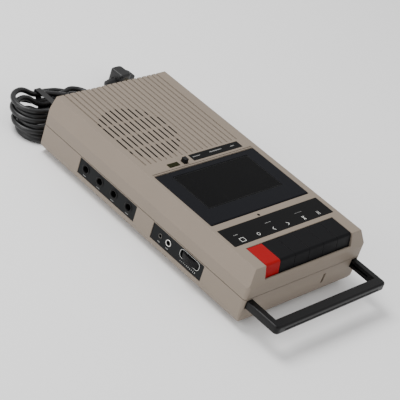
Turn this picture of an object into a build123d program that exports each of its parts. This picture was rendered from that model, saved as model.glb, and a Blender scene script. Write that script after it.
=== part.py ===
from build123d import *
import math
import os

# Portable shoebox cassette recorder, millimetres.
# While it is modelled, Y = 0 is the widest line of the front face and +Y runs to the rear.
# shift_y then moves every piece so that the origin is the centre of the footprint.

# ---------------------------------------------------------------- driving dimensions
ridge_half = 73.0  # half width at the ridge, the widest line of the case
deck_half = 66.0  # half width of the flat deck
base_half = 72.4  # half width of the side wall just above the bottom corner
length = 262.7
front_slope = 4.6  # how far the deck's front edge stands behind the ridge
foot_height = 1.2
parting_z = 29.9
ridge_z = 41.2
deck_z = 56.7
above = 70.0  # a height clear above the case
wall = 2.4
bottom_corner = 13.0
front_corner = 9.0
plan_corner = 3.5
handle_reach = 36.0  # front of the drawn-out handle, ahead of the front face
shift_y = -(length - handle_reach) / 2

# deck layout: X from, X to, Y from, Y to
lid_box = (-61.7, 59.1, 62.9, 134.2)
label_box = (-62.2, 60.8, 33.6, 55.7)
strip_box = (-9.6, 51.6, 139.6, 148.3)
window_box = (-38.9, -26.6, 139.4, 144.4)
reset_box = (-22.0, -17.7, 139.4, 144.4)
keys_box = (-54.0, 53.4, 2.7, 28.3)
key_names = ("record", "play", "rewind", "fast_forward", "stop_eject", "pause")
key_lip_z = 45.0

# grille
groove_count = 19
groove_pitch = 6.2
groove_first_x = -57.4
groove_front_y = 150.4
groove_width = 1.6
groove_depth = 1.0
speaker_x = -29.4
speaker_y = 192.0
slot_circle = 36.5
speaker_radius = 33.4
slot_width = 2.0
slot_rows = ((155.0, 172.0), (176.2, 190.0), (194.0, 208.0), (211.4, 229.0))

# left side
panel_rear = (133.8, 210.0)
panel_front = (48.3, 111.8)
panel_z = (12.8, 28.9)
jack_z = 21.5
headphone_y = (143.5, 163.0, 182.0, 201.0)
remote_y = 101.3
mic_jack_y = 91.0
wheel_y = 65.0
wheel_radius = 14.5
wheel_x = -60.6
wheel_z = (20.0, 26.2)
slot_half = 10.6  # half length of the wheel's slot

# handle
arm_outer = 69.3
arm_inner = 63.0
handle_z = (20.4, 28.4)
arm_end = 18.0

# mechanism
mech_x = -1.3  # middle of the cassette
chassis_z = (34.8, 36.0)
chassis_legs = ((-37.0, 62.0), (52.0, 62.0), (-56.0, 130.0), (52.0, 130.0))
hub_y = 99.0
hub_spacing = 42.5
capstan = (22.0, 71.0)
flywheel_radius = 25.0
motor_at = (-24.0, 121.5)
motor_radius = 16.0
pulley_radius = 4.0
belt_z = (9.2, 12.2)
key_shaft_at = (47.6, 46.6)  # Y, Z
key_shaft_radius = 1.5
lid_hinge_at = (65.0, 54.7)  # Y, Z
pinch_pivot = (38.0, 60.8)
pinch_arm_length = 13.5
pinch_heading = 174.7  # degrees from +X, with the roller clear of the capstan
lid_knuckle = 2.0
mic_port = (-9.6, 58.1)
post_z = 8.3  # where the upper shell's screw posts meet the lower shell's

board_z = (11.4, 13.0)

# battery compartment, in the bottom
battery_box = (-44.8, 57.6, 148.0, 204.0, 30.0)  # X, X, Y, Y, top Z

# mains cord
cord_diameter = 5.2
cord_exit_x = 52.0
cord_exit_z = 12.0
relief_length = 20.0
hank_box = (-79.0, 21.0, 264.6, 324.5, 30.0)  # X, X, Y, Y, top Z
plug_at = (67.0, 321.5)
blade_spacing = 12.7


# ---------------------------------------------------------------- helpers
def block(x0, x1, y0, y1, z0, z1):
    """Box between two corners."""
    middle = ((x0 + x1) / 2, (y0 + y1) / 2, (z0 + z1) / 2)
    return Pos(*middle) * Box(x1 - x0, y1 - y0, z1 - z0)


def rod(axis, start, radius, run):
    """Cylinder from a start point along +X, +Y or +Z."""
    turn = {"x": Rot(0, 90, 0), "y": Rot(-90, 0, 0), "z": Rot(0, 0, 0)}[axis]
    return Pos(*start) * turn * Pos(0, 0, run / 2) * Cylinder(radius, run)


def tube(axis, start, outer, inner, run):
    """Hollow cylinder along an axis."""
    return rod(axis, start, outer, run) - rod(axis, start, inner, run)


def profile(points, rounded=(), radius=0.0):
    """Closed face from points; the corners numbered in rounded get the radius."""
    face = make_face(Polyline(*points, close=True))
    if not rounded:
        return face
    corners = []
    for index in rounded:
        target = Vector(*points[index])
        corners.append(min(face.vertices(), key=lambda v: (Vector(v.X, v.Y) - target).length))
    return fillet(corners, radius)


def along_y(face, y0, y1):
    """Extrude a face drawn in X and Z from y0 to y1."""
    plane = Plane(origin=(0, y0, 0), x_dir=(1, 0, 0), z_dir=(0, -1, 0))
    return extrude(plane * face, amount=-(y1 - y0))


def along_x(face, x0, x1):
    """Extrude a face drawn in Y and Z from x0 to x1."""
    plane = Plane(origin=(x0, 0, 0), x_dir=(0, 1, 0), z_dir=(1, 0, 0))
    return extrude(plane * face, amount=x1 - x0)


def along_z(face, z0, z1):
    """Extrude a face drawn in X and Y from z0 to z1."""
    return extrude(Plane.XY.offset(z0) * face, amount=z1 - z0)


def rounded_plate(box, radius, z0, z1, gap=0.0):
    """Flat plate over an (x0, x1, y0, y1) box, shrunk by gap all round."""
    x0, x1, y0, y1 = box
    face = Pos((x0 + x1) / 2, (y0 + y1) / 2) * RectangleRounded(x1 - x0 - 2 * gap, y1 - y0 - 2 * gap, radius)
    return along_z(face, z0, z1)


def combine(*shapes):
    """One compound of separate solids."""
    solids = []
    for shape in shapes:
        solids.extend(shape.solids())
    return Compound(solids)


def save(node, shape):
    """Move a piece to the row's frame and write it."""
    moved = Pos(0, shift_y, 0) * shape
    export_step(moved, f"parts/{node}.step")


def outer_form(inset):
    """Outer form of the whole case, moved inwards by inset."""
    low = foot_height + inset
    half = base_half - inset
    ridge = ridge_half - inset
    deck = deck_half - 1.1 * inset
    top = deck_z - inset
    section = profile(
        [(-half, low), (half, low), (ridge, ridge_z), (deck, top), (-deck, top), (-ridge, ridge_z)],
        rounded=(0, 1),
        radius=bottom_corner - inset,
    )
    side = profile(
        [(inset + 0.6, low), (length - inset, low), (length - inset, top),
         (front_slope + inset, top), (inset, ridge_z)],
        rounded=(0,),
        radius=front_corner - inset,
    )
    corner = max(plan_corner - inset, 0.8)
    plan = Pos(0, length / 2) * RectangleRounded(2 * ridge, length - 2 * inset, corner)
    form = along_y(section, -5, length + 5) & along_x(side, -90, 90)
    return form & along_z(plan, 0, above)


# ---------------------------------------------------------------- case
def grooves():
    """Long shallow grooves in the rear deck, round at the front end."""
    cuts = []
    run = length + 5 - groove_front_y
    for index in range(groove_count):
        x = groove_first_x + index * groove_pitch
        face = Pos(x, groove_front_y + run / 2) * SlotOverall(run, groove_width, rotation=90)
        cuts.append(along_z(face, deck_z - groove_depth, deck_z + 1))
    return cuts


def speaker_slots():
    """Slots through the groove floors, kept inside the speaker's circle."""
    cuts = []
    for index in range(groove_count):
        x = groove_first_x + index * groove_pitch
        reach = slot_circle ** 2 - (x - speaker_x) ** 2
        if reach <= 0:
            continue
        half = math.sqrt(reach)
        for y0, y1 in slot_rows:
            start = max(y0, speaker_y - half)
            end = min(y1, speaker_y + half)
            if end - start > 2.5:
                x0, x1 = x - slot_width / 2, x + slot_width / 2
                cuts.append(block(x0, x1, start, end, deck_z - 6, deck_z + 1))
    return cuts


def grown(box, gap):
    """An (x0, x1, y0, y1) box made larger by gap all round."""
    return (box[0] - gap, box[1] + gap, box[2] - gap, box[3] + gap)


def screw_places():
    """X and Y of the five case screws."""
    return ((-58.2, 8.4), (58.2, 8.4), (-60.0, 250.0), (60.0, 250.0), (61.0, 140.5))


def make_case():
    """Upper and lower shells."""
    outer = outer_form(0)
    shell = outer - outer_form(wall)
    seam = (outer - outer_form(0.55)) & block(-100, 100, -10, 300, parting_z - 0.3, parting_z + 0.3)
    shell -= seam
    upper = shell & block(-100, 100, -10, 300, parting_z, 70)
    lower = shell & block(-100, 100, -10, 300, 0, parting_z)

    # upper shell
    cuts = grooves() + speaker_slots()
    cuts.append(rounded_plate(grown(lid_box, 0.4), 1.2, 50, 60))
    cuts.append(rounded_plate(label_box, 0.6, deck_z - 0.9, 60))
    cuts.append(rounded_plate(strip_box, 0.6, deck_z - 0.9, 60))
    cuts.append(rounded_plate(window_box, 0.4, 50, 60))
    cuts.append(rounded_plate(grown(reset_box, 0.25), 0.3, 50, 60))
    cuts.append(block(keys_box[0] - 0.4, keys_box[1] + 0.4, -5, keys_box[3] + 0.5, key_lip_z, 60))
    cuts.append(rod("z", (*mic_port, 50), 1.4, 10))
    cuts.append(block(keys_box[0] - 0.4, keys_box[1] + 0.4, 2.3, 12, ridge_z + 0.4, 60))
    upper -= cuts
    screw_posts = []
    post_top = deck_z - wall + 0.2
    for x, y in screw_places():
        screw_posts.append(tube("z", (x, y, post_z), 3.2, 1.15, post_top - post_z))
    for y in (134.9, 136.8):
        screw_posts.append(block(lid_box[0], lid_box[1], y, y + 1.0, deck_z - 1, deck_z + 0.5))
    for x in (-60.4, 58.0):
        screw_posts.append(block(x, x + 2.4, key_shaft_at[0] - 5, key_shaft_at[0] + 5, 40, post_top))
    for x in (-65.0, 59.9):
        screw_posts.append(block(x, x + 2.6, lid_hinge_at[0] - 3, lid_hinge_at[0] + 3, 49.5, post_top))
    upper += screw_posts
    upper -= rod("x", (-63, *key_shaft_at), key_shaft_radius, 126)
    upper -= [rod("x", (x, *lid_hinge_at), 1.0, 3) for x in (-64.7, 59.1)]

    # lower shell
    x0, x1, y0, y1, top = battery_box
    box_walls = block(x0 - 1.8, x1 + 1.8 - 1.2, y0 - 1.8, y1 + 1.8, foot_height + 0.4, top + 1.8)
    box_walls -= block(x0, x1 - 1.2, y0, y1, -5, top)
    box_walls -= block(x0 - 4, x1 + 4, y0 - 4, y1 + 4, -5, foot_height + 0.4)
    lower += box_walls & outer_form(wall / 2)
    guides = []
    for side in (-1, 1):
        xs = sorted((side * (arm_inner - 2.4), side * (arm_inner - 0.35)))
        guides.append(block(*xs, 13.6, 46, 3, parting_z - 0.4))
        xs = sorted((side * (arm_inner - 2.4), side * (ridge_half - 1)))
        guides.append(block(*xs, 13.6, 46, handle_z[0] - 1.8, handle_z[0] - 0.3))
    for x, y in screw_places():
        guides.append(tube("z", (x, y, foot_height + 1), 5.0, 1.6, post_z - foot_height - 1.1))
    lower += [piece & outer_form(wall / 2) for piece in guides]
    cuts = []
    for side in (-1, 1):
        xs = sorted((side * (arm_inner - 0.35), side * (arm_outer + 0.35)))
        cuts.append(block(*xs, -5, wall + 3, handle_z[0] - 0.3, handle_z[1] + 0.3))
    for start, end in (panel_rear, panel_front):
        cuts.append(block(-80, -base_half + 1.4, start, end, panel_z[0], panel_z[1]))
        cuts.append(block(-80, -base_half + 6, start + 2, end - 2, panel_z[0] + 1.6, panel_z[1] - 1.4))
    cuts.append(block(x0 - 0.4, x1 - 0.8, y0 - 0.4, y1 + 0.4, -2, foot_height + 2.2))
    cuts.append(block(x0, x1 - 1.2, y0, y1, -2, foot_height + 6))
    cuts.append(rod("y", (cord_exit_x, length - 6, cord_exit_z), 5.2, 12))
    cuts.append(block(27.6, 30.6, -2, 2.2, 14.0, 24.0))
    for x, y in screw_places():
        cuts.append(rod("z", (x, y, -1), 3.2, foot_height + 4.2))
        cuts.append(rod("z", (x, y, -1), 1.6, 30))
    for x, y in foot_places():
        cuts.append(rod("z", (x, y, foot_height - 3), 5.6, 3.8))
    for index in range(7):
        x = -24 + index * 8
        cuts.append(block(x, x + 2.4, 216, 246, -1, foot_height + wall + 1))
    lower -= cuts
    save("top_case", upper)
    save("bottom_case", lower)


def foot_places():
    """X and Y of the four rubber feet."""
    return ((-48.0, 18.0), (48.0, 18.0), (-48.0, 245.0), (44.0, 245.0))


def make_fasteners():
    """Rubber feet and case screws."""
    feet = [rod("z", (x, y, 0), 5.4, foot_height + 0.8) for x, y in foot_places()]
    feet = [fillet(foot.edges().group_by(Axis.Z)[0], 0.6) for foot in feet]
    save("rubber_feet", combine(*feet))
    screws = []
    for x, y in screw_places():
        seat = foot_height + 3.2
        head = rod("z", (x, y, seat - 2.0), 2.9, 2.0)
        cross = block(x - 1.8, x + 1.8, y - 0.3, y + 0.3, seat - 3, seat - 1.1)
        cross += block(x - 0.3, x + 0.3, y - 1.8, y + 1.8, seat - 3, seat - 1.1)
        screws.append(head - cross + rod("z", (x, y, seat - 0.1), 1.1, 16))
    save("case_screws", combine(*screws))


# ---------------------------------------------------------------- lid
def make_lid():
    """Lid frame with its window, cassette guides and hinge pins."""
    x0, x1, y0, y1 = lid_box
    hinge_y, hinge_z = lid_hinge_at
    frame = rounded_plate((x0, x1, hinge_y, y1 - 0.2), 1.0, deck_z - 2.6, deck_z)
    frame += block(x0, x1, hinge_y, hinge_y + 4, deck_z - 2.6, deck_z)
    frame += rod("x", (x0, hinge_y, hinge_z), lid_knuckle, x1 - x0)
    skirt = rounded_plate((x0 + 3, x1 - 3, hinge_y + 1, y1 - 2), 1.0, deck_z - 6, deck_z - 1)
    skirt -= rounded_plate((x0 + 5, x1 - 5, hinge_y - 9, y1 - 4), 1.0, deck_z - 8, deck_z)
    frame += skirt
    frame -= rounded_plate((-46.4, 45.2, 81.6, 128.4), 1.0, deck_z - 1.4, deck_z + 1)
    frame -= rounded_plate((-44.9, 43.7, 83.1, 126.9), 1.0, deck_z - 8, deck_z + 1)
    frame -= rod("x", (x0 - 1, hinge_y, hinge_z), 1.05, x1 - x0 + 2)
    save("lid_frame", frame)
    window = rounded_plate((-46.2, 45.0, 81.8, 128.2), 0.9, deck_z - 1.4, deck_z - 0.1)
    save("lid_window", window)

    pins = [rod("x", (-64.6, hinge_y, hinge_z), 1.0, 12.0), rod("x", (50.0, hinge_y, hinge_z), 1.0, 12.0)]
    save("lid_hinge_pins", combine(*pins))

    for side, name in ((-1, "left"), (1, "right")):
        wide = sorted((mech_x + side * 51.2, mech_x + side * 52.4))
        lip_x = sorted((mech_x + side * 45.0, mech_x + side * 52.4))
        guide = block(*wide, 68.5, 128.0, 39.6, deck_z - 2.6)
        guide += block(*lip_x, 68.5, 128.0, 39.6, 40.6)
        guide += block(*lip_x, 68.5, 128.0, deck_z - 3.8, deck_z - 2.6)
        guide += block(*lip_x, 68.5, 69.5, 39.6, deck_z - 2.6)
        save(f"cassette_guide_{name}", guide)


def make_plates():
    """Printed label plates, counter window and reset button."""
    save("control_label_plate", rounded_plate(label_box, 0.5, deck_z - 0.9, deck_z, gap=0.15))
    save("rear_label_strip", rounded_plate(strip_box, 0.5, deck_z - 0.9, deck_z, gap=0.15))
    pane = rounded_plate(window_box, 0.3, deck_z - 2.0, deck_z + 0.3, gap=0.1)
    flange = rounded_plate(grown(window_box, 1.5), 0.3, deck_z - wall - 0.8, deck_z - wall)
    neck = rounded_plate(window_box, 0.3, deck_z - wall, deck_z - 1, gap=0.1)
    save("counter_window", pane + flange + neck)
    button = rounded_plate(reset_box, 0.6, deck_z - 7.0, deck_z + 4.2)
    button = fillet(button.edges().group_by(Axis.Z)[-1], 0.6)
    flange = rounded_plate(grown(reset_box, 1.2), 0.3, deck_z - wall - 1.2, deck_z - wall - 0.05)
    save("counter_reset_button", button + flange)


# ---------------------------------------------------------------- keys
def key_solid(x0, x1):
    """One piano key: cap with a rounded brow and leaning front, and its lever."""
    y0, y1 = keys_box[2], keys_box[3]
    top = deck_z - 0.2
    face = profile(
        [(y0, 42.6), (y0 + 2.6, top), (y1, top), (y1, 47.0), (y1 - 2, 47.0), (y1 - 2, 52.0),
         (y0 + 5.2, 52.0), (y0 + 2.4, 42.6)],
        rounded=(1,),
        radius=2.6,
    )
    cap = along_x(face, x0, x1)
    for x in (x0, x1 - 1.2):
        rib = profile([(y0 + 0.6, 43.6), (y0 + 3.0, 52.5), (y1 - 1, 52.5), (y1 - 1, 47.0)])
        cap += along_x(rib, x, x + 1.2)
    middle = (x0 + x1) / 2
    lever = block(middle - 4, middle + 4, y1 - 2, key_shaft_at[0], 45.6, 49.4)
    lever += rod("x", (middle - 4, *key_shaft_at), 3.4, 8)
    lever -= rod("x", (middle - 9, *key_shaft_at), key_shaft_radius + 0.06, 18)
    return cap + lever


def make_keys():
    """Six keys on one shaft, each with a torsion spring round the shaft."""
    pitch = (keys_box[1] - keys_box[0]) / len(key_names)
    springs = []
    for index, name in enumerate(key_names):
        x0 = keys_box[0] + index * pitch + 0.2
        x1 = x0 + pitch - 0.4
        save(f"{name}_key", key_solid(x0, x1))
        start = (x0 + x1) / 2 + 4.6
        if index == len(key_names) - 1:
            start = (x0 + x1) / 2 - 8.2
        coil = Helix(1.1, 3.6, 2.6, center=(start, *key_shaft_at), direction=(1, 0, 0))
        ring = Plane(origin=coil @ 0, z_dir=coil % 0) * Circle(0.35)
        springs.append(sweep(ring, path=coil))
    save("key_springs", combine(*springs))
    save("key_shaft", rod("x", (-60.2, *key_shaft_at), key_shaft_radius, 120.4))


# ---------------------------------------------------------------- mechanism
def make_chassis():
    """Steel plate that carries the tape drive, on four legs."""
    z0, z1 = chassis_z
    plate = rounded_plate((-60.0, 56.0, 58.0, 134.0), 3.0, z0, z1)
    for side in (-1, 1):
        plate -= rod("z", (mech_x + side * hub_spacing / 2, hub_y, 30), 3.06, 10)
    plate -= rod("z", (*capstan, 30), 1.6, 10)
    plate -= rod("z", (*motor_at, 30), 6.0, 10)
    legs = []
    for x, y in chassis_legs:
        legs.append(rod("z", (x, y, foot_height + wall), 3.0, z0 - foot_height - wall))
    bearing = tube("z", (*capstan, z0 - 12), 3.4, 1.06, 14.6)
    post = rod("z", (*pinch_pivot, z0), 1.5, 8.0)
    save("chassis_plate", plate + legs + bearing + post)


def spindle(x):
    """Reel spindle: base disc, hub with three drive fins and a shaft through the plate."""
    z = chassis_z[1] + 0.4
    body = rod("z", (x, hub_y, z), 9.0, 1.8)
    body += rod("z", (x, hub_y, z), 3.6, 9.0)
    body += rod("z", (x, hub_y, chassis_z[0] - 3.0), 3.0, 5.0)
    body += rod("z", (x, hub_y, chassis_z[0] - 4.5), 4.6, 1.5)
    for index in range(3):
        fin = block(3.0, 4.7, -0.6, 0.6, z + 1.0, z + 8.0)
        body += Pos(x, hub_y) * Rot(0, 0, index * 120) * fin
    return body


def make_drive():
    """Spindles, capstan, flywheel, motor, pulley and belt."""
    save("supply_spindle", spindle(mech_x - hub_spacing / 2))
    save("takeup_spindle", spindle(mech_x + hub_spacing / 2))
    shaft_low = foot_height + wall + 0.3
    save("capstan_shaft", rod("z", (*capstan, shaft_low), 1.0, 50.0 - shaft_low))
    wheel = rod("z", (*capstan, 8.0), flywheel_radius, 6.5)
    wheel += rod("z", (*capstan, 7.0), 5.0, 11.0)
    wheel -= tube("z", (*capstan, 11.5), 20.0, 8.0, 5.0)
    wheel -= tube("z", (*capstan, belt_z[0] - 0.4), flywheel_radius + 1, flywheel_radius - 0.9, 3.8)
    for index in range(6):
        angle = math.radians(60 * index + 30)
        place = (capstan[0] + 14 * math.cos(angle), capstan[1] + 14 * math.sin(angle), 5)
        wheel -= rod("z", place, 2.6, 20)
    wheel -= rod("z", (*capstan, 5), 1.0, 20)
    save("flywheel", wheel)

    motor = rod("z", (*motor_at, 15.0), motor_radius, chassis_z[0] - 15.0)
    motor = fillet(motor.edges().group_by(Axis.Z)[0], 2.0)
    motor += rod("z", (*motor_at, 13.4), 4.0, 2.0)
    motor -= rod("z", (*motor_at, 8), 1.06, 12)
    save("motor", motor)
    pulley = rod("z", (*motor_at, 8.2), pulley_radius, 5.0)
    pulley -= tube("z", (*motor_at, belt_z[0] - 0.3), pulley_radius + 1, pulley_radius - 0.8, 3.6)
    save("motor_pulley", pulley + rod("z", (*motor_at, 7.6), 1.0, 10.0))

    big = flywheel_radius - 0.9 + 0.3
    small = pulley_radius - 0.8 + 0.3
    loop = belt_face(big + 0.9, small + 0.9) - belt_face(big, small)
    save("drive_belt", along_z(loop, *belt_z))


def belt_face(big, small):
    """Face inside a belt that runs round the flywheel and the motor pulley."""
    dx = motor_at[0] - capstan[0]
    dy = motor_at[1] - capstan[1]
    gap = math.hypot(dx, dy)
    lean = math.acos((big - small) / gap)
    heading = math.atan2(dy, dx)
    corners = []
    ends = ((capstan, big, 1), (motor_at, small, 1), (motor_at, small, -1), (capstan, big, -1))
    for centre, radius, sign in ends:
        angle = heading + sign * lean
        corners.append((centre[0] + radius * math.cos(angle), centre[1] + radius * math.sin(angle)))
    middle = make_face(Polyline(*corners, close=True))
    return middle + Pos(*capstan) * Circle(big) + Pos(*motor_at) * Circle(small)


def make_heads():
    """Pinch roller on its arm, and the heads on their sliding bridge."""
    z = chassis_z[1] + 0.3
    heading = math.radians(pinch_heading)
    roller = (pinch_pivot[0] + pinch_arm_length * math.cos(heading),
              pinch_pivot[1] + pinch_arm_length * math.sin(heading))
    arm = Pos(*pinch_pivot) * Rot(0, 0, pinch_heading) * block(
        -2.6, pinch_arm_length + 1.6, -2.4, 2.4, z + 1.4, z + 2.6)
    arm += rod("z", (*pinch_pivot, z + 0.2), 3.0, 5.0)
    arm += rod("z", (*roller, z + 1.4), 1.0, 11.0)
    arm -= rod("z", (*pinch_pivot, z - 1), 1.56, 9)
    save("pinch_arm", arm)
    save("pinch_roller", tube("z", (*roller, z + 3.2), 5.0, 1.06, 8.0))

    bridge = rounded_plate((mech_x - 22, mech_x + 14, 58.6, 69.0), 1.0, z, z + 1.2)
    save("head_bridge", bridge)
    head = block(mech_x - 6, mech_x + 6, 61.2, 69.4, z + 1.2, z + 12)
    head = fillet(head.edges().filter_by(Axis.Z).group_by(Axis.Y)[-1], 2.4)
    save("record_play_head", head)
    erase = block(mech_x - 19, mech_x - 12, 61.2, 68.6, z + 1.2, z + 11)
    erase = fillet(erase.edges().filter_by(Axis.Z).group_by(Axis.Y)[-1], 1.6)
    save("erase_head", erase)


def make_counter():
    """Three-digit tape counter below its window."""
    y = (window_box[2] + window_box[3]) / 2
    z = 48.6
    x0, x1 = window_box[0] + 0.6, window_box[1] - 0.6
    cheeks = []
    for x in (x0 - 1.4, x1 + 0.2):
        cheeks.append(block(x, x + 1.2, y - 4.4, y + 4.4, chassis_z[1] + 1, 52.4))
    base = block(x0 - 1.4, x1 + 1.4, y - 5.5, y + 5.5, chassis_z[1] + 1, chassis_z[1] + 2.2)
    axle = rod("x", (x0 - 1.4, y, z), 0.8, x1 - x0 + 2.8)
    save("counter_frame", base + cheeks + axle)
    pitch = (x1 - x0) / 3
    for index, name in enumerate(("hundreds", "tens", "units")):
        start = x0 + index * pitch + 0.1
        drum = tube("x", (start, y, z), 4.1, 0.86, pitch - 0.2)
        save(f"counter_drum_{name}", drum)


def make_sound():
    """Speaker and microphone."""
    top = deck_z - wall
    middle = Pos(speaker_x, speaker_y, 0)
    basket = tube("z", (speaker_x, speaker_y, top - 2.0), speaker_radius, speaker_radius - 2.6, 2.0)
    basket += middle * Pos(0, 0, top - 9.5) * (
        Cone(17.0, speaker_radius - 1.0, 15.0) - Cone(15.4, speaker_radius - 2.6, 15.0))
    basket += rod("z", (speaker_x, speaker_y, 32.8), 17.0, 4.7)
    save("speaker_basket", basket)
    cone = middle * Pos(0, 0, top - 8.7) * (
        Cone(14.0, speaker_radius - 4.0, 12.6) - Pos(0, 0, 0.8) * Cone(13.4, speaker_radius - 4.6, 12.6))
    dome = middle * Pos(0, 0, top - 21.4) * Sphere(14.6)
    cone += dome & rod("z", (speaker_x, speaker_y, top - 14.99), 13.8, 12.0)
    save("speaker_cone", cone)
    save("microphone_capsule", rod("z", (*mic_port, 48.0), 2.6, deck_z - wall - 48.0))


# ---------------------------------------------------------------- side panels and electrics
def make_side_panels():
    """Two black panels in the left wall, with their jacks and the volume wheel."""
    face_x = -base_half + 0.15
    for name, (y0, y1) in (("rear", panel_rear), ("front", panel_front)):
        panel = block(face_x, face_x + 1.2, y0 + 0.15, y1 - 0.15, panel_z[0] + 0.15, panel_z[1] - 0.15)
        if name == "rear":
            for y in headphone_y:
                panel -= rod("x", (face_x - 1, y, jack_z), 3.7, 4)
        else:
            panel -= rod("x", (face_x - 1, remote_y, jack_z), 2.4, 4)
            panel -= rod("x", (face_x - 1, mic_jack_y, jack_z), 3.1, 4)
            low, high = wheel_z[0] - 0.4, wheel_z[1] + 0.4
            panel -= block(face_x - 1, face_x + 3, wheel_y - slot_half, wheel_y + slot_half, low, high)
        save(f"side_panel_{name}", panel)

    save("headphone_jacks", combine(*[jack(y, 3.6, 3.2, 25.0, 13.0) for y in headphone_y]))
    save("remote_jack", jack(remote_y, 2.3, 1.3, 12.0, 8.0))
    save("microphone_jack", jack(mic_jack_y, 3.0, 1.8, 14.0, 8.0))

    z0, z1 = wheel_z
    wheel = rod("z", (wheel_x, wheel_y, z0), wheel_radius, z1 - z0)
    ribs = []
    for index in range(60):
        angle = math.radians(6 * index)
        place = (wheel_x + (wheel_radius + 0.1) * math.cos(angle),
                 wheel_y + (wheel_radius + 0.1) * math.sin(angle), z0 - 1)
        ribs.append(rod("z", place, 0.45, z1 - z0 + 2))
    wheel -= ribs
    wheel -= rod("z", (wheel_x, wheel_y, z0 - 1), 3.06, 20)
    save("volume_wheel", wheel)
    body = rod("z", (wheel_x, wheel_y, board_z[1] + 0.05), 8.0, z0 - 0.4 - board_z[1] - 0.05)
    save("volume_control_body", body + rod("z", (wheel_x, wheel_y, z0 - 1), 3.0, z1 - z0 + 1.6))


def jack(y, collar, bore, depth, side):
    """Phone jack on the circuit board: its collar stands in the panel and its bore is open outwards."""
    mouth = -base_half
    y0, y1 = y - side / 2, y + side / 2
    body = block(mouth + 2.6, mouth + depth + 0.5, y0, y1, board_z[1] + 0.05, jack_z + 5.4)
    body += rod("x", (mouth, y, jack_z), collar, 3.0)
    return body - rod("x", (mouth - 1, y, jack_z), bore, depth + 1)


def make_electrics():
    """Circuit board, transformer and battery contacts."""
    board = block(-69.0, -47.5, 47.0, 214.0, *board_z)
    board += block(-48.0, 20.0, 206.5, 214.0, *board_z)
    for x, y in ((-53.0, 112.0), (-53.0, 120.0), (-63.0, 124.0)):
        board += rod("z", (x, y, board_z[1] - 0.1), 2.6, 8.0)
    board -= [rod("z", (x, y, 5), 3.6, 20) for x, y in chassis_legs]
    save("circuit_board", board)
    core = block(12.0, 48.0, 222.0, 246.0, 4.8, 34.0)
    coil = block(18.0, 42.0, 216.4, 251.6, 8.0, 30.0)
    feet = block(6.0, 54.0, 228.0, 240.0, foot_height + wall, 4.9)
    save("mains_transformer", fillet(coil.edges().filter_by(Axis.X), 3.0) + core + feet)
    x0, x1, y0, y1 = battery_box[:4]
    plates = []
    for x in (x0 + 0.2, x1 - 1.2 - 0.8):
        for y in (y0 + 14, y1 - 14):
            plates.append(block(x, x + 0.6, y - 9, y + 9, 7.0, 24.0))
    save("battery_contacts", combine(*plates))


def make_battery_door():
    """Battery door in the bottom with its finger latch and two hinge tabs."""
    x0, x1, y0, y1 = battery_box[:4]
    door = block(x0 - 0.1, x1 - 1.1, y0 - 0.1, y1 + 0.1, foot_height, foot_height + 2.0)
    door -= block(x0 + 46, x0 + 58, y1 - 5, y1 - 2, foot_height - 1, foot_height + 0.9)
    for index in range(5):
        y = y0 + 10 + 3 * index
        door -= block(x0 + 40, x0 + 64, y, y + 1.2, foot_height - 1, foot_height + 0.5)
    save("battery_door", door)


def make_handle():
    """U-shaped carry handle whose arms slide into the lower case."""
    z0, z1 = handle_z
    outline = profile(
        [(-arm_outer, arm_end), (-arm_outer, -handle_reach), (arm_outer, -handle_reach),
         (arm_outer, arm_end),
         (arm_inner, arm_end), (arm_inner, -handle_reach + 9), (-arm_inner, -handle_reach + 9),
         (-arm_inner, arm_end)],
        rounded=(1, 2),
        radius=4.0,
    )
    handle = along_z(outline, z0, z1)
    front_edges = handle.edges().filter_by(lambda e: e.center().Y < -handle_reach + 5).filter_by(
        lambda e: abs(e.center().Z - z0) < 0.1 or abs(e.center().Z - z1) < 0.1)
    handle = fillet(front_edges, 1.8)
    handle -= block(-arm_inner + 4, arm_inner - 4, -handle_reach - 1, -handle_reach + 0.5, 23.4, 24.6)
    for side in (-1, 1):
        xs = sorted((side * arm_inner, side * (arm_inner + 2.0)))
        handle -= block(*xs, -handle_reach + 16, arm_end - 6, 23.2, 25.6)
    save("carry_handle", handle)


# ---------------------------------------------------------------- mains cord
def cord_tube(name, points):
    """Cord along straight runs joined by tangent arcs as large as the runs allow."""
    spots = [Vector(*point) for point in points]
    runs = [spots[index + 1] - spots[index] for index in range(len(spots) - 1)]
    radii = []
    for before, after in zip(runs, runs[1:]):
        turn = math.radians(before.get_angle(after))
        radii.append(0.45 * min(before.length, after.length) / math.tan(turn / 2))
    path = FilletPolyline(*spots, radius=radii)
    section = Plane(origin=path @ 0, z_dir=path % 0) * Circle(cord_diameter / 2)
    cord = sweep(section, path=path)
    expected = math.pi * cord_diameter ** 2 / 4 * path.length
    print(name, "length", round(path.length), "radii", [round(radius) for radius in radii],
          "volume ratio", round(cord.volume / expected, 3))
    save(name, cord)


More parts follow.
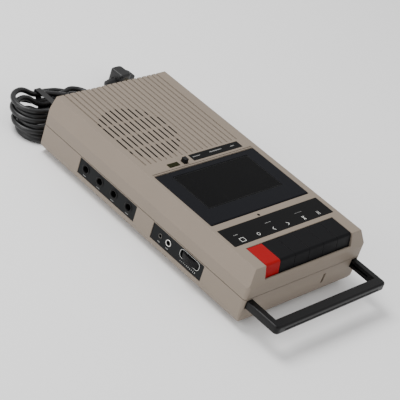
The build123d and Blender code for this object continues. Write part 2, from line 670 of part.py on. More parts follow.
def make_cord():
    """Strain relief, lead to the hank, hank, tie, lead to the plug, plug."""
    start = length - wall - 2.0
    relief = rod("y", (cord_exit_x, start, cord_exit_z), 6.4, 1.8)
    relief += rod("y", (cord_exit_x, start, cord_exit_z), 5.1, wall + 2.6)
    taper = Cone(5.6, 3.7, relief_length)
    relief += Pos(cord_exit_x, length + 0.3 + relief_length / 2, cord_exit_z) * Rot(-90, 0, 0) * taper
    for index in range(4):
        y = length + 4.5 + 5 * index
        relief -= block(cord_exit_x - 9, cord_exit_x + 9, y, y + 1.6, cord_exit_z + 3.6, cord_exit_z + 9)
        relief -= block(cord_exit_x - 9, cord_exit_x + 9, y, y + 1.6, cord_exit_z - 9, cord_exit_z - 3.6)
    save("cord_strain_relief", relief)

    tip = length + 0.3 + relief_length
    cord_tube("power_cord", [
        (cord_exit_x, tip, cord_exit_z), (52.6, 293.0, 9.4), (46.0, 303.0, 6.4), (33.0, 306.0, 4.6),
        (15.0, 301.5, 5.2)])
    cord_tube("plug_lead", [
        (-18.4, 313.0, 9.0), (-18.4, 326.5, 5.6), (-8.4, 336.4, 3.4), (5.8, 335.4, 2.8), (17.5, 325.5, 2.8),
        (28.0, 314.0, 2.7), (39.0, 310.2, 3.0), (49.5, 313.4, 4.8), (59.5, 320.0, 6.8)])

    x0, x1, y0, y1, top = hank_box
    low, band_x = 0.05, (-38.0, -30.0)
    face = profile([(y0, low), (y1 - 17.5, low), (y1, 16.0), (y1, top - 3), (y1 - 5.5, top),
                    (y0 + 26.4, top), (y0, 12.0)], rounded=(0, 1, 2, 4, 5, 6), radius=3.0)
    plan = Pos((x0 + x1) / 2, (y0 + y1) / 2) * RectangleRounded(x1 - x0, y1 - y0, 21.0)
    hank = along_x(face, x0, x1) & along_z(plan, 0, 60)
    tie = along_x(offset(face, amount=1.0), *band_x) & block(-100, 100, 200, 400, 0.02, 60)
    save("cord_tie", tie - hank)
    save("cord_hank", hank)

    # right-angle plug lying on its edge, blades towards the case
    axis_z = 6.8
    plug = along_z(Pos(7.0, 0) * RectangleRounded(14.0, 18.0, 4.0), 0.6, 19.4)
    plug = fillet(plug.edges().group_by(Axis.Z)[-1], 2.5)
    plug += along_z(Pos(17.0, 0) * RectangleRounded(12.0, 14.0, 3.5), 0.6, 13.0)
    plug += Pos(-4.0, 0, axis_z) * Rot(0, 90, 0) * Cone(3.6, 5.6, 10.0)
    blades = []
    for x in (3.0, 3.0 + blade_spacing):
        blades.append(block(x - 0.75, x + 0.75, -25.0, -5.0, axis_z - 3.1, axis_z + 3.1)
                      - rod("x", (x - 2, -21.0, axis_z), 1.6, 4))
    place = Pos(*plug_at) * Rot(0, 0, 2)
    blades = combine(*blades)
    save("power_plug", place * (plug - blades))
    save("plug_blades", place * blades)


os.makedirs("parts", exist_ok=True)
make_case()
make_fasteners()
make_lid()
make_plates()
make_keys()
make_chassis()
make_drive()
make_heads()
make_counter()
make_sound()
make_side_panels()
make_electrics()
make_battery_door()
make_handle()
make_cord()
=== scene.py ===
"""Looks of a portable cassette recorder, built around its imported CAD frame."""

from __future__ import annotations

import logging
import math
from dataclasses import dataclass, field
from enum import Enum
from typing import Any, Iterable, Sequence

import bmesh
import bpy
from mathutils import Matrix, Vector


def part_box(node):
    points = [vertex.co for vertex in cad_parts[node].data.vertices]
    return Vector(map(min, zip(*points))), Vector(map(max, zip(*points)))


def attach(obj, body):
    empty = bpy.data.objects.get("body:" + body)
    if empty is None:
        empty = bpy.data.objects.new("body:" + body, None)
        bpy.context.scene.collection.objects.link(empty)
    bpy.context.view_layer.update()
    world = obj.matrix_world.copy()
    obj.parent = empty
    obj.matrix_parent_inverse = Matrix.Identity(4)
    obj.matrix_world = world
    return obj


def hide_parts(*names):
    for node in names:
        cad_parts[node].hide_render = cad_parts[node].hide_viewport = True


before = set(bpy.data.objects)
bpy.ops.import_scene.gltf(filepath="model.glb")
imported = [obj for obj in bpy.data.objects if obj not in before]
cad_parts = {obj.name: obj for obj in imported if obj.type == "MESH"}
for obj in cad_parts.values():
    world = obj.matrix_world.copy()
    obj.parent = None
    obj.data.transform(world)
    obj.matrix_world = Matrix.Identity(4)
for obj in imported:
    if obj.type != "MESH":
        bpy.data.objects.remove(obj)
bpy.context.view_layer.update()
log = logging.getLogger("recorder")

MM = 0.001
LOOK = "look_"
INK = 0.00004
FRONT_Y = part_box("top_case")[0].y
DECK_Z = 56.7
PANEL_X = -72.25
Point = tuple[float, float, float]
Colour = tuple[float, float, float]
Flat = tuple[float, float]
Shape = tuple[Sequence[Flat], Sequence[Flat]]


def at(x: float, y: float, z: float) -> Vector:
    """Turn millimetres behind the front face into the row frame.

    Args:
        x: Millimetres to the right of the middle.
        y: Millimetres behind the front face.
        z: Millimetres above the table.

    Returns:
        The point in metres.
    """
    return Vector((x * MM, FRONT_Y + y * MM, z * MM))


def srgb(red: float, green: float, blue: float) -> Colour:
    """Turn 0 to 255 screen values into a linear colour."""
    return tuple(
        ((c / 255 + 0.055) / 1.055) ** 2.4 if c > 10 else c / 255 / 12.92 for c in (red, green, blue))


# ---- shader maths
class Val:
    """A shader socket that takes part in Python arithmetic."""

    def __init__(self, recipe: Recipe, socket: bpy.types.NodeSocket) -> None:
        """Keep the recipe and the socket."""
        self.recipe = recipe
        self.socket = socket

    def _math(self, operation: str, first: Any, second: Any = None) -> Val:
        """Add one Math node for an operation on up to two values."""
        values = {0: first} if second is None else {0: first, 1: second}
        return self.recipe.node("ShaderNodeMath", {"operation": operation}, values)

    def __add__(self, other: Val | float) -> Val:
        """Sum."""
        return self._math("ADD", self, other)

    def __sub__(self, other: Val | float) -> Val:
        """Difference."""
        return self._math("SUBTRACT", self, other)

    def __rsub__(self, other: float) -> Val:
        """Reflected difference."""
        return self._math("SUBTRACT", other, self)

    def __mul__(self, other: Val | float) -> Val:
        """Product."""
        return self._math("MULTIPLY", self, other)

    def clipped(self) -> Val:
        """The value held between 0 and 1."""
        return self.recipe.node("ShaderNodeClamp", {}, {0: self})


class Recipe:
    """One material under construction."""

    def __init__(self, name: str) -> None:
        """Start an empty material with an output node."""
        self.material = bpy.data.materials.new(LOOK + name)
        self.material.use_nodes = True
        self.tree = self.material.node_tree
        self.tree.nodes.clear()
        self.output = self.tree.nodes.new("ShaderNodeOutputMaterial")

    def node(self, kind: str, settings: dict[str, Any], inputs: dict[Any, Any], out: int | str = 0) -> Val:
        """Add a node.

        Args:
            kind: Blender's name of the node's type.
            settings: Attributes set first; "stops" fills a colour ramp.
            inputs: Socket name or index to a value or a Val.
            out: Which output to return.

        Returns:
            The chosen output.
        """
        made = self.tree.nodes.new(kind)
        for key, value in settings.items():
            if key == "stops":
                ramp = made.color_ramp
                while len(ramp.elements) < len(value):
                    ramp.elements.new(1.0)
                for element, (place, colour) in zip(ramp.elements, value):
                    element.position = place
                    element.color = (*colour, 1.0)
            else:
                setattr(made, key, value)
        for key, value in inputs.items():
            if isinstance(value, Val):
                self.tree.links.new(value.socket, made.inputs[key])
            elif isinstance(value, tuple) and made.inputs[key].type == "RGBA":
                made.inputs[key].default_value = (*value, 1.0)
            else:
                made.inputs[key].default_value = value
        return Val(self, made.outputs[out])

    def place(self, scale: Point = (1.0, 1.0, 1.0), turn: Point = (0.0, 0.0, 0.0)) -> Val:
        """Object coordinates, scaled and turned."""
        raw = self.node("ShaderNodeTexCoord", {}, {}, "Object")
        return self.node("ShaderNodeMapping", {}, {"Vector": raw, "Scale": scale, "Rotation": turn})

    def noise(self, vector: Val, scale: float, detail: float = 2.0, rough: float = 0.5) -> Val:
        """Noise with features about 1 / scale of a metre across."""
        return self.node("ShaderNodeTexNoise", {}, {
            "Vector": vector, "Scale": scale, "Detail": detail, "Roughness": rough}, "Fac")

    def mix(self, mask: Val | float, first: Val | Colour, second: Val | Colour) -> Val:
        """Blend two colours by a mask."""
        return self.node("ShaderNodeMix", {"data_type": "RGBA"}, {"Factor": mask, 6: first, 7: second}, 2)

    def bump(self, height: Val, distance: float, strength: float = 1.0, edge: float = 0.0) -> Val:
        """Normal from a height in metres, over edges eased by a small radius."""
        inputs: dict[Any, Any] = {"Height": height, "Distance": distance, "Strength": strength}
        if edge > 0:
            inputs["Normal"] = self.node("ShaderNodeBevel", {"samples": 6}, {"Radius": edge})
        return self.node("ShaderNodeBump", {}, inputs)

    def finish(self, **sockets: Any) -> bpy.types.Material:
        """Close the recipe with a Principled shader whose sockets are given by name."""
        named = {key.replace("_", " "): value for key, value in sockets.items()}
        shader = self.node("ShaderNodeBsdfPrincipled", {}, named)
        self.tree.links.new(shader.socket, self.output.inputs["Surface"])
        return self.material


# ---- finishes
@dataclass(frozen=True)
class Finish:
    """A named finish; each kind knows how to make its material."""

    name: str
    colour: Colour

    def make(self) -> bpy.types.Material:
        """Build the material."""
        raise NotImplementedError


@dataclass(frozen=True)
class MouldedPlastic(Finish):
    """Moulded plastic with a spark-eroded grain, faint mottling and rubbed patches."""

    rough: float = 0.5
    grain: float = 2600.0
    depth: float = 0.00004
    mottle: float = 0.06
    rub: float = 0.08
    edge: float = 0.0007
    coat: float = 0.0
    shine: float = 0.4

    def make(self) -> bpy.types.Material:
        """Build the material."""
        recipe = Recipe(self.name)
        place = recipe.place()
        cloud = recipe.noise(place, 22.0, 3.0)
        fine = recipe.noise(place, self.grain, 3.0, 0.6)
        speck = recipe.noise(place, self.grain * 0.45, 1.0)
        dark = tuple(c * (1 - self.mottle) for c in self.colour)
        light = tuple(min(1.0, c * (1 + self.mottle)) for c in self.colour)
        tone = recipe.mix((cloud * 1.6 - 0.3).clipped(), dark, light)
        tone = recipe.mix(((speck - 0.6) * 3.0).clipped() * 0.25, tone, dark)
        streak = recipe.noise(recipe.place((1.0, 0.12, 1.0), (0.0, 0.0, 0.5)), 260.0, 4.0, 0.7)
        rubbed = ((streak - 0.56) * 4.0).clipped() * cloud
        rough = (fine * 0.1 + (self.rough - 0.05) - rubbed * self.rub).clipped()
        return recipe.finish(
            Base_Color=tone, Roughness=rough, Coat_Weight=self.coat, Coat_Roughness=0.25,
            Specular_IOR_Level=self.shine, Normal=recipe.bump(fine, self.depth, 0.7, self.edge))


@dataclass(frozen=True)
class GlossPlastic(Finish):
    """Smooth plastic with hairline scratches and a little dust."""

    rough: float = 0.18
    edge: float = 0.0004
    scratches: float = 0.16
    dust: float = 0.05

    def make(self) -> bpy.types.Material:
        """Build the material."""
        recipe = Recipe(self.name)
        place = recipe.place()
        ripple = recipe.noise(place, 60.0, 2.0)
        lines = recipe.noise(recipe.place((1.0, 0.03, 1.0), (0.0, 0.0, 0.9)), 900.0, 4.0, 0.75)
        scratch = ((lines - 0.62) * 7.0).clipped()
        dust = ((recipe.noise(place, 1500.0, 2.0) - 0.66) * 8.0).clipped() * ripple
        tone = recipe.mix(dust * self.dust * 3.0, self.colour, (0.12, 0.12, 0.11))
        rough = (scratch * self.scratches + dust * 0.3 + self.rough + ripple * 0.05).clipped()
        return recipe.finish(
            Base_Color=tone, Roughness=rough, Specular_IOR_Level=0.09,
            Normal=recipe.bump(ripple + scratch * 0.05, 0.00006, 0.5, self.edge))


@dataclass(frozen=True)
class SmokedClear(Finish):
    """Dark tinted clear plastic that shows a little of what lies below it."""

    cover: float = 0.86
    rough: float = 0.12

    def make(self) -> bpy.types.Material:
        """Build the material."""
        recipe = Recipe(self.name)
        place = recipe.place()
        wave = recipe.noise(place, 35.0, 2.0)
        lines = recipe.noise(recipe.place((1.0, 0.04, 1.0), (0.0, 0.0, 0.4)), 700.0, 4.0, 0.7)
        haze = ((lines - 0.6) * 6.0).clipped()
        return recipe.finish(
            Base_Color=recipe.mix(haze * 0.1, self.colour, (0.03, 0.03, 0.03)),
            Roughness=(haze * 0.15 + wave * 0.04 + self.rough).clipped(),
            Specular_IOR_Level=0.08,
            Alpha=(wave * 0.04 + haze * 0.06 + self.cover).clipped(),
            Normal=recipe.bump(wave, 0.00008, 0.4))


@dataclass(frozen=True)
class SoftRubber(Finish):
    """Matt rubber or vinyl with a fine bloom."""

    rough: float = 0.6
    bloom: float = 0.25

    def make(self) -> bpy.types.Material:
        """Build the material."""
        recipe = Recipe(self.name)
        place = recipe.place()
        cloud = recipe.noise(place, 90.0, 3.0)
        pores = recipe.noise(place, 3200.0, 2.0)
        pale = tuple(c + 0.03 for c in self.colour)
        return recipe.finish(
            Base_Color=recipe.mix(cloud * self.bloom, self.colour, pale),
            Roughness=(cloud * 0.12 + (self.rough - 0.06)).clipped(),
            Normal=recipe.bump(pores, 0.00003, 0.6))


@dataclass(frozen=True)
class Metal(Finish):
    """Metal with brushed or turned marks and a little tarnish."""

    rough: float = 0.28
    brushed: Point = (1.0, 0.02, 1.0)
    tarnish: float = 0.2

    def make(self) -> bpy.types.Material:
        """Build the material."""
        recipe = Recipe(self.name)
        marks = recipe.noise(recipe.place(self.brushed), 1800.0, 3.0, 0.7)
        stain = recipe.noise(recipe.place(), 70.0, 4.0, 0.6)
        worn = ((stain - 0.5) * 3.0).clipped() * self.tarnish
        dull = tuple(c * 0.45 for c in self.colour)
        return recipe.finish(
            Base_Color=recipe.mix(worn, self.colour, dull), Metallic=1.0 - worn * 0.5,
            Roughness=(marks * 0.18 + worn * 0.4 + (self.rough - 0.08)).clipped(),
            Normal=recipe.bump(marks, 0.00002, 0.5))


@dataclass(frozen=True)
class Fibre(Finish):
    """Pressed paper pulp, felt or laminate with short fibres."""

    rough: float = 0.9
    scale: float = 900.0
    contrast: float = 0.4

    def make(self) -> bpy.types.Material:
        """Build the material."""
        recipe = Recipe(self.name)
        strands = recipe.noise(recipe.place((1.0, 0.2, 1.0)), self.scale, 4.0, 0.7)
        cross = recipe.noise(recipe.place((0.2, 1.0, 1.0)), self.scale, 4.0, 0.7)
        pile = (strands + cross) * 0.5
        dark = tuple(c * (1 - self.contrast) for c in self.colour)
        return recipe.finish(
            Base_Color=recipe.mix(pile, dark, self.colour),
            Roughness=(pile * 0.1 + (self.rough - 0.05)).clipped(),
            Specular_IOR_Level=0.08, Normal=recipe.bump(pile, 0.00015, 0.8))


@dataclass(frozen=True)
class Print(Finish):
    """Thin printed ink, slightly uneven."""

    rough: float = 0.5

    def make(self) -> bpy.types.Material:
        """Build the material."""
        recipe = Recipe(self.name)
        grain = recipe.noise(recipe.place(), 2400.0, 3.0, 0.7)
        thin = tuple(c * 0.7 for c in self.colour)
        return recipe.finish(
            Base_Color=recipe.mix(((grain - 0.5) * 2.0).clipped(), self.colour, thin),
            Roughness=(grain * 0.2 + (self.rough - 0.1)).clipped(),
            Normal=recipe.bump(grain, 0.00001, 0.4))


class Shade(Enum):
    """Every finish of the recorder."""

    CASE = MouldedPlastic("case_plastic", srgb(131, 119, 106), rough=0.55, mottle=0.035, edge=0.0009)
    KEY_BLACK = MouldedPlastic(
        "key_black", srgb(15, 15, 17), rough=0.45, shine=0.08, depth=0.00002, edge=0.0007)
    KEY_RED = MouldedPlastic(
        "key_red", srgb(146, 2, 9), rough=0.42, shine=0.12, depth=0.00002, edge=0.0007, mottle=0.04)
    PANEL = MouldedPlastic("panel_black", srgb(18, 20, 21), rough=0.55, shine=0.15, grain=3400.0, edge=0.0004)
    HANDLE = MouldedPlastic(
        "handle_black", srgb(9, 9, 10), rough=0.36, shine=0.16, depth=0.00003, edge=0.0006, coat=0.1)
    TRIM_BLACK = MouldedPlastic("trim_black", srgb(12, 12, 13), rough=0.45, shine=0.2, edge=0.0003)
    SOCKET = MouldedPlastic("socket_black", srgb(8, 8, 9), rough=0.5, shine=0.2, edge=0.0002)
    LID = GlossPlastic("lid_black", srgb(13, 14, 19), rough=0.36, edge=0.0008)
    LABEL = GlossPlastic("label_black", srgb(9, 9, 10), rough=0.36, edge=0.0002)
    SMOKED = SmokedClear("smoked_window", srgb(2, 2, 3), cover=0.93)
    OLIVE = SmokedClear("counter_window", srgb(30, 31, 5), cover=0.8)
    RUBBER = SoftRubber("black_rubber", srgb(30, 30, 30), rough=0.75)
    VINYL = SoftRubber("cord_vinyl", srgb(9, 9, 11), rough=0.4, bloom=0.05)
    TIE = SoftRubber("tie_vinyl", srgb(14, 14, 15), rough=0.55)
    PLUG = SoftRubber("plug_vinyl", srgb(8, 8, 9), rough=0.45, bloom=0.06)
    STEEL = Metal("plated_steel", (0.56, 0.57, 0.58))
    ZINC = Metal("turned_zinc", (0.62, 0.62, 0.60), rough=0.35, brushed=(1.0, 1.0, 0.02))
    NICKEL = Metal("nickel", (0.72, 0.70, 0.66), rough=0.2, brushed=(0.05, 1.0, 1.0), tarnish=0.1)
    BRASS = Metal("brass", (0.70, 0.55, 0.25), rough=0.25)
    IRON = Metal("lacquered_iron", (0.16, 0.15, 0.14), rough=0.5, brushed=(0.02, 1.0, 1.0), tarnish=0.6)
    NYLON = MouldedPlastic("white_nylon", srgb(206, 204, 196), rough=0.4, edge=0.0003)
    DRUM = MouldedPlastic("drum_white", srgb(210, 208, 198), rough=0.5, edge=0.0)
    PULP = Fibre("speaker_pulp", (0.035, 0.033, 0.03))
    # Near-black felt; on the sheets in the speaker slots this finish is painted shade.
    FELT = Fibre("dust_felt", (0.004, 0.004, 0.004), scale=1600.0)
    BOARD = Fibre("board_laminate", (0.22, 0.12, 0.04), rough=0.5, contrast=0.2)
    WHITE_INK = Print("white_ink", srgb(214, 214, 210))
    GREY_INK = Print("grey_ink", srgb(150, 150, 148))
    BLACK_INK = Print("black_ink", (0.01, 0.01, 0.01))
    SEAM = Print("seam_shadow", srgb(38, 32, 26), rough=0.9)

    @property
    def material(self) -> bpy.types.Material:
        """The finish's material, made once.

        The frame's own materials carry the record's slot names, so these names have a prefix.
        """
        return bpy.data.materials.get(LOOK + self.value.name) or self.value.make()


# ---- mesh tools
def piece(name: str, mesh: bpy.types.Mesh, shade: Shade, body: str,
          smooth: bool = False) -> bpy.types.Object:
    """Turn a mesh into a finished piece.

    Args:
        name: Piece name.
        mesh: Mesh in the row frame.
        shade: Its finish.
        body: CAD body it rides on.
        smooth: Whether faces are shaded smooth.

    Returns:
        The new object.
    """
    thing = bpy.data.objects.new(name, mesh)
    bpy.context.scene.collection.objects.link(thing)
    mesh.materials.clear()
    mesh.materials.append(shade.material)
    for polygon in mesh.polygons:
        polygon.use_smooth = smooth
    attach(thing, body)
    log.info("piece %s: %d faces on %s", name, len(mesh.polygons), body)
    return thing


def mesh_of(name: str, build: bmesh.types.BMesh, place: Matrix | None = None) -> bpy.types.Mesh:
    """Write a bmesh to a mesh with its normals outward, after an optional move."""
    bmesh.ops.remove_doubles(build, verts=build.verts, dist=1e-7)
    if place is not None:
        bmesh.ops.transform(build, matrix=place, verts=build.verts)
    bmesh.ops.recalc_face_normals(build, faces=build.faces)
    mesh = bpy.data.meshes.new(name)
    build.to_mesh(mesh)
    build.free()
    return mesh


def prism(build: bmesh.types.BMesh, outline: Sequence[Flat], low: float, high: float,
          hole: Sequence[Flat] = ()) -> None:
    """Add an upright prism, or a frame when a hole with as many points is given.

    Args:
        build: Where it goes.
        outline: Points counter-clockwise, in millimetres.
        low: Lower height in millimetres.
        high: Upper height in millimetres.
        hole: Inner points, one for each outer point.
    """
    count = len(outline)
    rings = []
    for points in (outline, hole) if hole else (outline,):
        for height in (low, high):
            rings.append([build.verts.new((x * MM, y * MM, height * MM)) for x, y in points])
    for index in range(count):
        after = (index + 1) % count
        build.faces.new((rings[0][index], rings[0][after], rings[1][after], rings[1][index]))
        if hole:
            build.faces.new((rings[2][after], rings[2][index], rings[3][index], rings[3][after]))
            build.faces.new((rings[1][index], rings[1][after], rings[3][after], rings[3][index]))
            build.faces.new((rings[0][after], rings[0][index], rings[2][index], rings[2][after]))
    if not hole:
        build.faces.new(rings[1])
        build.faces.new(list(reversed(rings[0])))


def circle(radius: float, count: int) -> list[Flat]:
    """Points of a circle about the origin, counter-clockwise."""
    return [(radius * math.cos(math.tau * i / count), radius * math.sin(math.tau * i / count))
            for i in range(count)]


def round_box(width: float, height: float, radius: float, steps: int = 6) -> list[Flat]:
    """Points of a rounded rectangle about the origin, counter-clockwise."""
    points = []
    for corner, (sx, sy) in enumerate(((1, 1), (-1, 1), (-1, -1), (1, -1))):
        for step in range(steps + 1):
            angle = math.pi / 2 * (corner + step / steps)
            points.append((sx * (width / 2 - radius) + radius * math.cos(angle),
                           sy * (height / 2 - radius) + radius * math.sin(angle)))
    return points


def lathe(build: bmesh.types.BMesh, profile: Sequence[Flat], count: int) -> None:
    """Turn a closed (radius, height) profile in millimetres about Z."""
    rings = []
    for i in range(count):
        angle = math.tau * i / count
        rings.append([build.verts.new((r * MM * math.cos(angle), r * MM * math.sin(angle), z * MM))
                      for r, z in profile])
    for i, ring in enumerate(rings):
        after = rings[(i + 1) % count]
        for j in range(len(profile)):
            k = (j + 1) % len(profile)
            build.faces.new((ring[j], after[j], after[k], ring[k]))


def on_deck(x: float, y: float, above: float) -> Matrix:
    """Place for something flat on the deck, some millimetres above it or, if negative, below."""
    return Matrix.Translation(at(x, y, DECK_Z + above))


def facing_left(x: float, y: float, z: float) -> Matrix:
    """Place for a flat drawing on the left side: its +X runs to the front, its +Y up."""
    turn = Matrix(((0, 0, -1, 0), (-1, 0, 0, 0), (0, 1, 0, 0), (0, 0, 0, 1)))
    return Matrix.Translation(at(x, y, z)) @ turn


def flat_piece(name: str, shapes: Sequence[Shape], span: Flat, place: Matrix, shade: Shade,
               body: str = "case") -> bpy.types.Object:
    """Make a piece of prisms, each an outline with its hole or nothing, between the same two heights."""
    build = bmesh.new()
    for outline, hole in shapes:
        prism(build, outline, *span, hole)
    return piece(name, mesh_of(name, build, place), shade, body)


def dress(shade: Shade, *nodes: str) -> None:
    """Give carried-over CAD nodes a finish."""
    for node in nodes:
        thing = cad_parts[node]
        thing.data.materials.clear()
        thing.data.materials.append(shade.material)
        log.info("CAD node %s: %s", node, shade.value.name)


# ---- geometry nodes
class GeometryTree:
    """A Geometry Nodes tree with named inputs that ends in Realize Instances and Set Material."""

    def __init__(self, name: str, inputs: dict[str, tuple[str, Any]]) -> None:
        """Start a tree.

        Args:
            name: The tree's name.
            inputs: Input name to its socket type and first value.
        """
        self.tree = bpy.data.node_groups.new(name, "GeometryNodeTree")
        face = self.tree.interface
        face.new_socket("Geometry", in_out="OUTPUT", socket_type="NodeSocketGeometry")
        self.keys = {}
        for label, (kind, first) in inputs.items():
            socket = face.new_socket(label, in_out="INPUT", socket_type=kind)
            self.keys[label] = socket.identifier
            if first is not None:
                socket.default_value = first
        self.source = self.tree.nodes.new("NodeGroupInput")

    def node(self, kind: str, settings: dict[str, Any], inputs: dict[Any, Any], out: int | str = 0) -> Any:
        """Add a node and return one output; a string value names one of the tree's inputs."""
        made = self.tree.nodes.new(kind)
        for key, value in settings.items():
            setattr(made, key, value)
        for key, value in inputs.items():
            if isinstance(value, str):
                value = self.source.outputs[value]
            if isinstance(value, bpy.types.NodeSocket):
                self.tree.links.new(value, made.inputs[key])
            else:
                made.inputs[key].default_value = value
        return made.outputs[out]

    def close(self, geometry: Any) -> GeometryTree:
        """End the tree with Realize Instances and Set Material."""
        solid = self.node("GeometryNodeRealizeInstances", {}, {0: geometry})
        dressed = self.node("GeometryNodeSetMaterial", {}, {"Geometry": solid, "Material": "Finish"})
        end = self.tree.nodes.new("NodeGroupOutput")
        self.tree.links.new(dressed, end.inputs[0])
        return self

    def bake(self, name: str, place: Matrix, **values: Any) -> bpy.types.Mesh:
        """Evaluate the tree with given inputs.

        Args:
            name: Name of the mesh.
            place: Where the result goes, in the row frame.
            values: Input names, with _ for a space, to values.

        Returns:
            A plain mesh in the row frame.
        """
        holder = bpy.data.objects.new(name + "_holder", bpy.data.meshes.new(name + "_holder"))
        bpy.context.scene.collection.objects.link(holder)
        modifier = holder.modifiers.new("tree", "NODES")
        modifier.node_group = self.tree
        for label, value in values.items():
            modifier[self.keys[label.replace("_", " ")]] = value
        evaluated = holder.evaluated_get(bpy.context.evaluated_depsgraph_get())
        mesh = bpy.data.meshes.new_from_object(evaluated)
        holder.modifiers.clear()
        bpy.data.objects.remove(holder)
        mesh.transform(place)
        mesh.name = name
        return mesh


def bar_row_tree() -> GeometryTree:
    """A row of small bars whose length grows or varies along the row."""
    tree = GeometryTree("bar_row", {
        "Count": ("NodeSocketInt", 8), "Pitch": ("NodeSocketVector", (0.002, 0.0, 0.0)),
        "Size": ("NodeSocketVector", (0.0004, 0.002, 0.0001)), "Growth": ("NodeSocketFloat", 0.0),
        "Vary": ("NodeSocketFloat", 0.0), "Seed": ("NodeSocketInt", 7),
        "Finish": ("NodeSocketMaterial", None)})
    line = tree.node("GeometryNodeMeshLine", {}, {"Count": "Count", "Offset": "Pitch"})
    bar = tree.node("GeometryNodeMeshCube", {}, {"Size": "Size"})
    index = tree.node("GeometryNodeInputIndex", {}, {})
    grown = tree.node("ShaderNodeMath", {"operation": "MULTIPLY_ADD"}, {0: index, 1: "Growth", 2: 1.0})
    chance = tree.node("FunctionNodeRandomValue", {"data_type": "FLOAT"}, {"Seed": "Seed"}, 1)
    swing = tree.node("ShaderNodeMath", {"operation": "MULTIPLY"}, {0: chance, 1: "Vary"})
    total = tree.node("ShaderNodeMath", {"operation": "SUBTRACT"}, {0: grown, 1: swing})
    scale = tree.node("ShaderNodeCombineXYZ", {}, {0: 1.0, 1: total, 2: 1.0})
    rows = tree.node("GeometryNodeInstanceOnPoints", {}, {"Points": line, "Instance": bar, "Scale": scale})
    return tree.close(rows)


def printed_row(row: GeometryTree, name: str, place: Matrix, count: int, pitch: float, size: Flat,
                shade: Shade = Shade.GREY_INK, **values: Any) -> None:
    """Print a row of small bars on the case; pitch and size are in metres."""
    mesh = row.bake(name, place, Count=count, Pitch=(pitch, 0.0, 0.0), Size=(*size, INK),
                    Finish=shade.material, **values)
    piece(name, mesh, shade, "case")


def gauze_tree() -> GeometryTree:
    """A round gauze of crossing threads."""
    tree = GeometryTree("gauze", {
        "Radius": ("NodeSocketFloat", 0.036), "Cells": ("NodeSocketInt", 36),
        "Thread": ("NodeSocketFloat", 0.0002), "Finish": ("NodeSocketMaterial", None)})
    across = tree.node("ShaderNodeMath", {"operation": "MULTIPLY"}, {0: "Radius", 1: 2.0})
    grid = tree.node("GeometryNodeMeshGrid", {}, {
        "Size X": across, "Size Y": across, "Vertices X": "Cells", "Vertices Y": "Cells"})
    spot = tree.node("GeometryNodeInputPosition", {}, {})
    away = tree.node("ShaderNodeVectorMath", {"operation": "LENGTH"}, {0: spot}, "Value")
    outside = tree.node("FunctionNodeCompare", {"operation": "GREATER_THAN"}, {0: away, 1: "Radius"})
    disc = tree.node("GeometryNodeDeleteGeometry", {}, {"Geometry": grid, "Selection": outside})
    threads = tree.node("GeometryNodeMeshToCurve", {}, {"Mesh": disc})
    section = tree.node(
        "GeometryNodeCurvePrimitiveCircle", {}, {"Resolution": 4, "Radius": "Thread"}, "Curve")
    tubes = tree.node("GeometryNodeCurveToMesh", {}, {"Curve": threads, "Profile Curve": section})
    return tree.close(tubes)


# ---- studio
@dataclass
class Studio:
    """Camera, soft lights and a pale floor."""

    eye: Point = (-0.8891, -0.6377, 0.7373)
    yaw: float = 53.75
    pitch: float = 33.05
    roll: float = 18.79
    lens: float = 135.33
    sensor: float = 36.0
    aim: Point = (0.0, 0.0, 0.03)
    lights: tuple[tuple[str, Point, float, float], ...] = (
        ("key", (-0.35, 0.75, 1.5), 0.8, 22.0), ("side", (-1.4, 0.3, 0.7), 0.8, 7.0),
        ("front", (0.2, -1.5, 0.9), 0.9, 4.5))
    daylight: float = 0.75
    floor_reach: float = 6.0
    floor_z: float = -0.0002

    def camera(self) -> None:
        """Set up the camera."""
        yaw, pitch, roll = (math.radians(a) for a in (self.yaw, self.pitch, self.roll))
        ahead = Vector((math.sin(yaw) * math.cos(pitch), math.cos(yaw) * math.cos(pitch), -math.sin(pitch)))
        right = Vector((math.cos(yaw), -math.sin(yaw), 0.0))
        up = right.cross(ahead)
        across = right * math.cos(roll) + up * math.sin(roll)
        rise = up * math.cos(roll) - right * math.sin(roll)
        data = bpy.data.cameras.new("camera")
        data.lens, data.sensor_width, data.clip_start = self.lens, self.sensor, 0.05
        thing = bpy.data.objects.new("camera", data)
        bpy.context.scene.collection.objects.link(thing)
        turn = Matrix((across, rise, -ahead)).transposed().to_4x4()
        thing.matrix_world = Matrix.Translation(Vector(self.eye)) @ turn
        bpy.context.scene.camera = thing

    def light(self, name: str, place: Point, size: float, power: float) -> None:
        """Add one soft round light, its place and size in metres and its power in watts."""
        data = bpy.data.lights.new(name, "AREA")
        data.shape, data.size, data.energy = "DISK", size, power
        thing = bpy.data.objects.new(name, data)
        bpy.context.scene.collection.objects.link(thing)
        thing.location = place
        thing.rotation_euler = (Vector(self.aim) - Vector(place)).to_track_quat("-Z", "Y").to_euler()

    def build(self) -> None:
        """Set the whole studio."""
        for light in self.lights:
            self.light(*light)
        world = bpy.data.worlds.new("room")
        world.use_nodes = True
        background = world.node_tree.nodes["Background"]
        background.inputs["Color"].default_value = (1.0, 1.0, 1.0, 1.0)
        background.inputs["Strength"].default_value = self.daylight
        bpy.context.scene.world = world
        recipe = Recipe("pale_floor")
        cloud = recipe.noise(recipe.place(), 6.0, 3.0)
        pale = recipe.mix(cloud * 0.3, (0.97, 0.97, 0.97), (0.95, 0.95, 0.95))
        recipe.finish(Base_Color=pale, Roughness=(cloud * 0.1 + 0.75))
        build = bmesh.new()
        bmesh.ops.create_grid(build, x_segments=1, y_segments=1, size=self.floor_reach)
        mesh = mesh_of("floor", build)
        mesh.materials.append(recipe.material)
        floor = bpy.data.objects.new("floor", mesh)
        floor.location.z = self.floor_z
        bpy.context.scene.collection.objects.link(floor)


